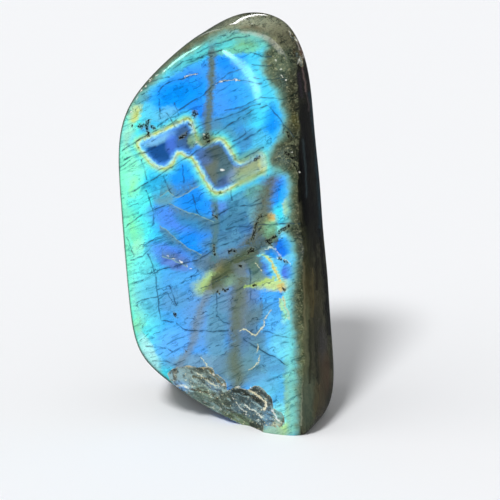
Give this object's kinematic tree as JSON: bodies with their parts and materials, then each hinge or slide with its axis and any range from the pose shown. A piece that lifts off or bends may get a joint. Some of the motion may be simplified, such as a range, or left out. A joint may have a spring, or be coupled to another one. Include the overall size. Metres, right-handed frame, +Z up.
{
  "type": "polished labradorite freeform",
  "caption": "Palm-sized freeform of polished labradorite that stands on end on a flat cut base, with rounded ground edges and a broken lower left edge.",
  "frame": {"origin": "middle of the stone's box, on the flat cut that it stands on", "axes": "+Z up the stone's long direction, -Y out of the flashing show face, +X to the right of someone who faces the show face"},
  "size_m": [0.0538, 0.0412, 0.0998],
  "materials": {
    "labradorite": "polished stone with a blue flash, grey-olive where the flash is off, fine dark cracks and grey veins; broken and glassy along the lower left edge"
  },
  "bodies": {
    "root": {"labradorite_stone": "labradorite"}
  },
  "joints": []
}
